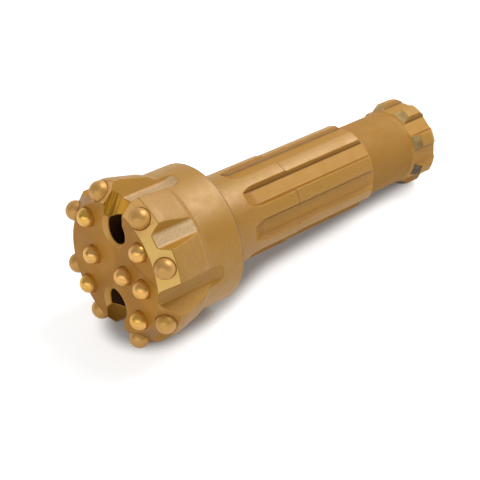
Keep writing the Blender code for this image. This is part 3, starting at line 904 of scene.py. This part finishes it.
def coat_turned_steel(tones, at, scene):
    coat = Coat("turned_coat", tones.coat, tones.coat_warm, pits=0.2, grain=0.5)
    # Paler land: a smoother coat, and partly a painted highlight on the band
    land = coat.stretch(at.land - 6 * MM, at.land, 0.15 * MM)
    coat.paint(land, tones.land, 0.3)
    coat.roughen(land, 0.05)
    taper = coat.stretch(at.land, at.gauge_rear)
    sand = coat.cloud(1000.0, 2.0, 0.6, 0.4, 0.7)
    coat.paint(coat.both(taper, sand), tones.shade_line_and_speck, 0.3)
    coat.roughen(taper, 0.05)
    # Painted shade: a dark line at the step on the spline tops
    coat.paint(coat.stretch(at.step - 0.3 * MM, at.step + 0.7 * MM, 0.1 * MM), tones.shade_line_and_speck, 0.8)
    # Painted shade: a dark line on the rounding of the skirt's rear edge
    rear = coat.stretch(at.shoulder - scene.bit_head.skirt_edge, at.shoulder, 0.1 * MM)
    coat.paint(rear, tones.shade_line_and_speck, 0.75)
    # Painted shade: darker clouds at the neck's foot behind the shoulder
    foot = coat.stretch(at.shoulder - 0.6 * MM, at.shoulder + 5 * MM, 2 * MM)
    foot_shade_cloud = coat.cloud(300.0, 3.0, 0.6, 0.3, 0.7, 0.2, 0.6)
    coat.paint(coat.both(foot, foot_shade_cloud), tones.groove_wall_shade)
    # Painted shadow in the hollow behind the gauge lobes
    hollow = coat.stretch(at.gauge_rear + 2 * MM, at.gauge_rear + 5 * MM, 1.5 * MM)
    coat.paint(hollow, tones.groove_wall_shade, 0.8)
    coat.paint(coat.cloud(460.0, 2.0, 0.5, 0.68, 0.73), tones.shade_line_and_speck, 0.45)
    seat = coat.stretch(at.retainer, at.collar)
    coat.paint(seat, tones.seat, 0.5)
    coat.roughen(seat, 0.3)
    patch_lug_ramps(coat, tones, at)
    # Dark marks on the neck behind the shoulder, below the axis only
    marks = coat.stretch(at.shoulder, at.shoulder + 14 * MM, 2 * MM)
    marks = coat.both(marks, coat.cloud(230.0, 2.0, 0.5, 0.60, 0.66))
    low = coat.fade(coat.place["Place X"], -8 * MM, 0.0)
    coat.paint(coat.both(marks, low), tones.dark_patch_tone, 0.75)
    # Painted shade: a dark line at the tail's rim
    coat.paint(coat.stretch(at.tail - 0.7 * MM, at.tail + 1 * MM, 0.2 * MM), tones.shade_line_and_speck)
    return coat


def patch_lug_ramps(coat, tones, at):
    """Bare patches on the ramps in front of the lugs, darker towards the bottom."""
    ramps = coat.stretch(at.lug_ramp + 0.2 * MM, at.lug - 0.1 * MM, 0.15 * MM)
    under = coat.fade(coat.place["Place X"], -10 * MM, 28 * MM)
    weather = coat.cloud(160.0, 4.0, 0.6, 0.4, 0.62, 0.0, 0.35)
    dark = maths(coat.tree, "MULTIPLY_ADD", under, 0.9, weather, clamp=True)
    patch = blend_colours(coat.tree, dark, (*tones.bare, 1), (*tones.dark_patch_tone, 1))
    coat.paint(coat.both(ramps, coat.cloud(420.0, 3.0, 0.6, 0.28, 0.42)), patch)
    coat.roughen(coat.stretch(at.lug_ramp, at.lug_end), 0.15)


def coat_face(tones):
    coat = Coat("face_coat", tones.face, tones.coat, mottle=0.4, pits=0.06, roughness=0.55, specular=0.45,
                grain=0.2)
    coat.paint(coat.cloud(30.0, 2.0, 0.5, 0.35, 0.62), tones.deep_face_and_bevel_shade, 0.55)
    # Painted shade: a faint dark line along a straight step that the face's mesh does not have, towards one
    # side
    x = coat.place["Place X"]
    y = coat.place["Place Y"]
    past = maths(coat.tree, "MULTIPLY_ADD", y, -math.sin(FACE_STEP_TURN), -FACE_STEP_LEAD)
    past = maths(coat.tree, "MULTIPLY_ADD", x, math.cos(FACE_STEP_TURN), past)
    step = coat.fade(coat.apart(past), 0.2 * MM, 1.1 * MM)
    outward = coat.fade(y, -22 * MM, -12 * MM)
    coat.paint(coat.both(step, outward), tones.shade_line_and_speck, 0.5)
    return coat


def coat_bevel(tones):
    coat = Coat("bevel_coat", tones.bevel, tones.coat, mottle=0.35, pits=0.1, specular=0.7)
    turn = coat.place["Turn"]
    # Painted shade: the underside of the bevel takes the deep face tone
    coat.paint(coat.ramp(coat.apart(turn), 0.30, 0.38), tones.deep_face_and_bevel_shade)
    # Painted light over the top of the bevel, and a painted highlight on its side towards the fill strip
    for low, high, tint in ((-0.15, 0.06, tones.bevel_painted_light), (-0.24, -0.11, tones.bevel_painted_highlight)):
        near = coat.ramp(turn, low - 0.05, low + 0.02)
        coat.paint(coat.both(near, coat.fade(turn, high - 0.02, high + 0.05)), tint)
    coat.score(700.0, 0.05)
    return coat


def coat_flutes(tones, scene):
    coat = Coat("flute_coat", tones.flute_wall, tones.coat, mottle=0.2, pits=0.15, specular=0.7, grain=0.9)
    across = coat.across(2 * scene.bit_flutes.count, 0.0)
    floor = coat.fade(coat.apart(across), 3.6 * MM, 5.4 * MM)
    # Painted highlight, in part: the pale floor tone grows from the bottom of the bit towards the top
    floor = coat.both(floor, coat.ramp(coat.place["Place X"], 0.0, 30 * MM, 0.15, 1.0))
    sand = coat.cloud(1200.0, 2.0, 0.6, 0.38, 0.62, 0.45, 1.0)
    coat.paint(coat.both(floor, sand), tones.flute_floor_and_highlight)
    coat.roughen(floor, 0.05)
    coat.score(600.0, 0.12)
    return coat


def coat_grooves(tones, scene):
    splines = scene.bit_splines
    # Painted shade: the groove walls take a darker tone than the floors
    coat = Coat("groove_coat", tones.groove_wall_shade, tones.coat, mottle=0.2, pits=0.1, specular=0.5)
    across = coat.across(splines.count, splines.turn)
    coat.paint(coat.fade(coat.apart(across), 4.5 * MM, 5.3 * MM), tones.groove_floor)
    # Painted shade: darker on the run-out ramps where the cutter comes out
    run_out = coat.stretch(splines.start - 20 * MM, splines.start - 2 * MM, 3 * MM)
    coat.paint(run_out, tones.groove_wall_shade, 0.7)
    # Painted shade: a dark line in the corner on the upper side of each groove only
    upper = coat.ramp(across, 4.2 * MM, 4.7 * MM)
    coat.paint(coat.both(upper, coat.fade(across, 5.3 * MM, 5.9 * MM)), tones.shade_line_and_speck, 0.8)
    coat.score(700.0, 0.08)
    return coat


def coat_channels(tones, scene):
    """Bright floors, darker sides as painted shade broken by streaks that run along each channel, and
    painted shade in the lower channel.
    """
    coat = Coat("channel_coat", tones.channel, tones.flute_wall, mottle=0.25, pits=0.15, specular=0.2)
    tree = coat.tree
    out = coat.apart(coat.place["Place X"])
    fall = coat.both(out, math.tan(scene.bit_air_way.channel_lean))
    line = new_node(tree, "CombineXYZ", {
        0: coat.both(out, 0.05), 1: coat.place["Place Y"],
        2: maths(tree, "SUBTRACT", fall, coat.place["Depth"]),
    })
    streaks = coat.ramp(noise(tree, line.outputs[0], 600.0, 3.0, 0.6), 0.38, 0.62, 0.35, 1.0)
    side = coat.ramp(coat.apart(coat.place["Place Y"]), 3.5 * MM, 8.0 * MM)
    dark = coat.both(coat.both(streaks, side), 0.85)
    # Painted shade: the channel below the axis is darkened
    low = coat.ramp(coat.place["Place X"], -20 * MM, 0.0, 0.75, 0.0)
    coat.paint(maths(tree, "MAXIMUM", dark, low), tones.channel_shade_and_streaks)
    return coat


def coat_edges(tones, at):
    """Paler edges in patches, worn and partly a painted highlight, and a painted shade line at the shoulder
    and at the step.
    """
    edge = Coat("worn_edge_and_painted_light", tones.edge, tones.coat, mottle=1.0, pits=0.1, roughness=0.55, specular=0.6)
    edge.paint(edge.cloud(140.0, 3.0, 0.6, 0.42, 0.58), tones.coat)
    # Painted shade: a dark line at the shoulder and at the step
    for depth in (at.shoulder, at.step):
        edge.paint(edge.stretch(depth - 1 * MM, depth + 1 * MM, 0.2 * MM), tones.shade_line_and_speck, 0.8)
    return edge


def make_finishes(scene, at):
    """Every finish of the bit; each material has its finish's name."""
    build_bit_place(rest_matrix(at.tail))
    build_slot_place()
    build_coat()
    build_tool_marks()
    tones = scene.bit_colours
    for coat in (
        coat_edges(tones, at),
        coat_turned_steel(tones, at, scene),
        coat_face(tones),
        coat_bevel(tones),
        coat_flutes(tones, scene),
        coat_grooves(tones, scene),
        coat_channels(tones, scene),
        Coat("mouth_coat", tones.mouth, tones.coat, mottle=0.4, roughness=0.48),
        # Painted shade: the flushing holes are coated near-black and the button sockets dark
        Coat("air_way_painted_shade", tones.air_way, tones.channel_shade_and_streaks, mottle=0.4, roughness=0.6, specular=0.3),
        Coat("socket_painted_shade", tones.channel_shade_and_streaks, tones.channel_shade_and_streaks, roughness=0.6, specular=0.3),
        Coat("gauge_button_coat", tones.button, tones.button_warm, mottle=0.7, pits=0.05, roughness=0.47,
             metallic=0.5, specular=0.5, grain=0.03),
        Coat("face_button_coat", tones.face_button, tones.face_button_warm, mottle=0.7, pits=0.05,
             roughness=0.30, metallic=0.72, specular=0.5, grain=0.03),
    ):
        coat.dry()


def finish(name):
    if name not in bpy.data.materials:
        raise RuntimeError(f"The finish {name} hasn't been mixed yet")
    return bpy.data.materials[name]


class BIT_OT_finishes(bpy.types.Operator):
    """Mix the coats, tool marks and wear that the bit's pieces are finished with"""
    bl_idname = "bit.finishes"
    bl_label = "Mix the Finishes"
    bl_options = {"REGISTER", "UNDO"}

    def execute(self, context):
        make_finishes(context.scene, stations(context.scene))
        return {"FINISHED"}


class BIT_OT_body(bpy.types.Operator):
    """Turn the body, mill its flutes and splines, drill its air way and sockets, and break its edges"""
    bl_idname = "bit.body"
    bl_label = "Make the Body"
    bl_options = {"REGISTER", "UNDO"}

    def execute(self, context):
        scene = context.scene
        at = stations(scene)
        body = turn_on_lathe("body", body_outline(scene, at), BODY_STEPS)
        body.matrix_world = around(FULL_TURN / BODY_STEPS * CLEAR_TURN)
        select_only(body)
        bpy.ops.object.transform_apply(rotation=True)
        join_flat_ends(body)
        paint_stretches(body, scene, at)
        for name, tool, coat in (
            ("Flutes", mill_flutes, "flute_coat"),
            ("Splines", mill_grooves, "groove_coat"),
            ("Air way", drill_air_way, "air_way_painted_shade"),
            ("Sockets", bore_sockets, "socket_painted_shade"),
        ):
            cutters = bpy.data.collections.new(name)
            scene.collection.children.link(cutters)
            tool(scene, at, cutters)
            context.view_layer.update()
            cut(body, name, cutters, finish(coat))
        soften_edges(body, at, finish("worn_edge_and_painted_light"))
        finish_piece(body, rest_matrix(at.tail))
        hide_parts("bit_body")
        return {"FINISHED"}


def paint_stretches(body, scene, at):
    """The face, the bevel and the rest of the turned body each take their coat."""
    for name in ("turned_coat", "face_coat", "bevel_coat"):
        body.data.materials.append(finish(name))
    for polygon in body.data.polygons:
        depth = -polygon.center.z
        if depth < MERGE_DISTANCE:
            polygon.material_index = 1
        elif depth < scene.bit_head.bevel_depth:
            polygon.material_index = 2


# The buttons

def button_outline(sizes, radius, height, depth, dimple):
    """A ballistic button: a rounded nose, a convex flank, a short band and a chamfered foot."""
    nose = sizes.nose_radius
    dome = height - sizes.band
    flank = (radius ** 2 + (dome - nose) ** 2 - nose ** 2) / (2 * (radius - nose))
    meet = math.atan2(dome - nose, flank - radius)
    points = []
    for step in range(NOSE_STEPS):
        turn = math.pi / 2 + (meet - math.pi / 2) * step / NOSE_STEPS
        points.append((nose * math.cos(turn), height - nose + nose * math.sin(turn)))
    for step in range(FLANK_STEPS + 1):
        turn = meet * (1 - step / FLANK_STEPS)
        points.append((radius - flank + flank * math.cos(turn), sizes.band + flank * math.sin(turn)))
    points.append((radius, sizes.foot_chamfer - depth))
    points.append((radius - sizes.foot_chamfer, -depth))
    points.append((0, -depth))
    points[0] = (0, height)
    if dimple:
        points[0] = (0, height - sizes.dimple / 2)
        points.insert(1, (sizes.dimple, height))
    return points


def set_buttons(scene, kind):
    """The buttons of one kind: one is turned and the rest are its copies."""
    at = stations(scene)
    rest = rest_matrix(at.tail)
    pattern = None
    for name, seat, (radius, height, depth) in button_seats(scene, at):
        if not name.startswith(kind):
            continue
        if pattern is None:
            sizes = scene.bit_buttons
            outline = button_outline(sizes, radius + sizes.coat, height, depth, kind == "gauge_button")
            pattern = turn_on_lathe(kind, outline, BUTTON_STEPS)
            pattern.data.materials.append(finish(kind + "_coat"))
            bpy.ops.object.shade_smooth_by_angle(angle=BUTTON_SMOOTH_ANGLE)
        button = pattern.copy()
        button.data = pattern.data.copy()
        button.name = "dressed_" + name
        scene.collection.objects.link(button)
        button.matrix_world = seat
        finish_piece(button, rest)
        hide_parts(name)
    bpy.data.objects.remove(pattern, do_unlink=True)


class BIT_OT_gauge_buttons(bpy.types.Operator):
    """Press the eight gauge buttons into the bevel"""
    bl_idname = "bit.gauge_buttons"
    bl_label = "Set the Gauge Buttons"
    bl_options = {"REGISTER", "UNDO"}

    def execute(self, context):
        set_buttons(context.scene, "gauge_button")
        return {"FINISHED"}


class BIT_OT_face_buttons(bpy.types.Operator):
    """Press the seven face buttons into the drilling face"""
    bl_idname = "bit.face_buttons"
    bl_label = "Set the Face Buttons"
    bl_options = {"REGISTER", "UNDO"}

    def execute(self, context):
        set_buttons(context.scene, "face_button")
        return {"FINISHED"}


# The studio

CAMERA_PLACE = (-0.512307, -0.574649, 0.573768)
CAMERA_TURN = (53.7175, 2.3249, -41.8147)
CAMERA_LENS = 100.11
FLOOR_RADIUS = 30
WHITE = (1, 1, 1, 1)
AIM = Vector((0, 0, 0.05))

# The floor's glow inside the painted shadow band beside the bit and in the open, and how far out it grows to
# white
CONTACT_LIFT = 0.06
OPEN_FLOOR_LIFT = 0.66
FAR_FLOOR = (0.25, 0.8)

# The painted shadow band, where the floor glows less: half its width at the head and at the shank, where it
# narrows along X, its soft rim, and its middle and half its length along X
HEAD_SHADE = 0.022
SHANK_SHADE = 0.004
HEAD_TO_SHANK = (-0.08, -0.01)
SHADE_SOFTNESS = 0.018
SHADE_MIDDLE = 0.012
SHADE_REACH = 0.123

# The walls' light, the way to the sweep behind the bit, and the levels where one passes into another
ROOM_LIGHT = 0.12
CEILING_LIGHT = 0.38
SWEEP_LIGHT = 0.9
SWEEP_WAY = (0.58, 0.81)
SWEEP_EDGE = (-0.1, 0.5)
ROOM_TOP = (0.4, 0.75)
SWEEP_TOP = (0.3, 0.8)
HORIZON = (0.1, 0.2)

# Each soft box's name, place, width, height and radiance
SOFT_BOXES = (
    ("key_box", (0.66, -0.13, 0.96), 0.75, 0.75, 6.7),
    ("fill_strip", (-0.95, -0.48, 0.46), 1.5, 0.35, 2.4),
)


def hang_soft_box(name, place, width, height, radiance):
    """A soft box that faces the bit; its radiance is that of white paper in full light at 1."""
    deselect_all()
    bpy.ops.object.light_add(type="AREA", location=place)
    lamp = bpy.context.object
    lamp.name = name
    lamp.rotation_euler = (AIM - Vector(place)).to_track_quat("-Z", "Y").to_euler()
    lamp.data.shape = "RECTANGLE"
    lamp.data.size = width
    lamp.data.size_y = height
    lamp.data.energy = radiance * math.pi * width * height


def set_camera(scene):
    deselect_all()
    turns = [math.radians(turn) for turn in CAMERA_TURN]
    bpy.ops.object.camera_add(location=CAMERA_PLACE, rotation=turns)
    camera = bpy.context.object
    camera.name = "studio_camera"
    camera.data.sensor_width = 36
    camera.data.lens = CAMERA_LENS
    camera.data.clip_start = 0.01
    scene.camera = camera


def lay_floor(scene):
    """A pale floor that glows to white away from the bit, with a painted shadow band of low glow beside the
    bit where its own shadow also falls.
    """
    deselect_all()
    bpy.ops.mesh.primitive_circle_add(vertices=96, radius=FLOOR_RADIUS, fill_type="NGON", location=(0, 0, 0))
    floor = bpy.context.object
    floor.name = "studio_floor"
    material, tree, shader = new_material("floor_paper")
    x, y, _ = split_place(tree, "Object")
    along = maths(tree, "ABSOLUTE", maths(tree, "SUBTRACT", x, SHADE_MIDDLE))
    beyond = maths(tree, "MAXIMUM", maths(tree, "SUBTRACT", along, SHADE_REACH), 0.0)
    squares = maths(tree, "MULTIPLY_ADD", beyond, beyond, maths(tree, "MULTIPLY", y, y))
    reach = maths(tree, "SQRT", squares)
    past = maths(tree, "SUBTRACT", reach, between(tree, x, *HEAD_TO_SHANK, HEAD_SHADE, SHANK_SHADE))
    lift = between(tree, past, 0.0, SHADE_SOFTNESS, CONTACT_LIFT, OPEN_FLOOR_LIFT)
    lift = maths(tree, "MAXIMUM", lift, between(tree, reach, *FAR_FLOOR))
    rays = new_node(tree, "LightPath").outputs
    seen = maths(tree, "MAXIMUM", rays["Is Camera Ray"], rays["Is Glossy Ray"])
    seen = maths(tree, "MAXIMUM", seen, rays["Is Transmission Ray"])
    fill_sockets(tree, shader.inputs, {
        "Roughness": 1.0,
        "Specular IOR Level": 0.0,
        "Base Color": (*scene.bit_colours.floor, 1),
        "Emission Color": WHITE,
        "Emission Strength": maths(tree, "MULTIPLY", seen, lift),
    })
    floor.data.materials.append(material)


def light_world(scene):
    """A white sweep behind the bit, a dim room behind the camera, a white horizon and a pale ceiling."""
    world = bpy.data.worlds.new("studio_walls")
    scene.world = world
    world.use_nodes = True
    tree = world.node_tree
    x, y, z = split_place(tree, "Generated")
    away = maths(tree, "MULTIPLY_ADD", x, SWEEP_WAY[0], maths(tree, "MULTIPLY", y, SWEEP_WAY[1]))
    walls = new_node(tree, "Mix", {
        0: between(tree, away, *SWEEP_EDGE),
        2: between(tree, z, *ROOM_TOP, ROOM_LIGHT, CEILING_LIGHT),
        3: between(tree, z, *SWEEP_TOP, SWEEP_LIGHT, CEILING_LIGHT),
    })
    horizon = between(tree, z, *HORIZON, 1, 0)
    fill_sockets(tree, tree.nodes["Background"].inputs, {
        "Color": WHITE,
        "Strength": maths(tree, "MAXIMUM", walls.outputs[0], horizon),
    })


class BIT_OT_stage(bpy.types.Operator):
    """Set up the studio: the camera, the pale floor, the pale walls and the soft lamps"""
    bl_idname = "bit.stage"
    bl_label = "Set Up the Studio"
    bl_options = {"REGISTER", "UNDO"}

    def execute(self, context):
        scene = context.scene
        scene.view_settings.view_transform = "Standard"
        set_camera(scene)
        lay_floor(scene)
        light_world(scene)
        for box in SOFT_BOXES:
            hang_soft_box(*box)
        return {"FINISHED"}


class BIT_PT_workbench(bpy.types.Panel):
    bl_idname = "BIT_PT_workbench"
    bl_label = "Drill Bit"
    bl_space_type = "VIEW_3D"
    bl_region_type = "UI"
    bl_category = "Drill Bit"

    def draw(self, context):
        for operator in OPERATORS:
            self.layout.operator(operator.bl_idname)


SIZES = {
    "bit_head": HeadSizes,
    "bit_shank": ShankSizes,
    "bit_splines": SplineSizes,
    "bit_flutes": FluteSizes,
    "bit_air_way": AirWaySizes,
    "bit_buttons": ButtonSizes,
    "bit_colours": FinishColours,
}
OPERATORS = (BIT_OT_stage, BIT_OT_finishes, BIT_OT_body, BIT_OT_gauge_buttons, BIT_OT_face_buttons)


def register():
    for name, group in SIZES.items():
        bpy.utils.register_class(group)
        setattr(bpy.types.Scene, name, PointerProperty(type=group))
    for operator in OPERATORS:
        bpy.utils.register_class(operator)
    bpy.utils.register_class(BIT_PT_workbench)


def unregister():
    bpy.utils.unregister_class(BIT_PT_workbench)
    for operator in reversed(OPERATORS):
        bpy.utils.unregister_class(operator)
    for name, group in SIZES.items():
        delattr(bpy.types.Scene, name)
        bpy.utils.unregister_class(group)


def main():
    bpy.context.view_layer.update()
    register()
    bpy.ops.bit.stage()
    bpy.ops.bit.finishes()
    bpy.ops.bit.body()
    bpy.ops.bit.gauge_buttons()
    bpy.ops.bit.face_buttons()


if __name__ == "__main__":
    main()
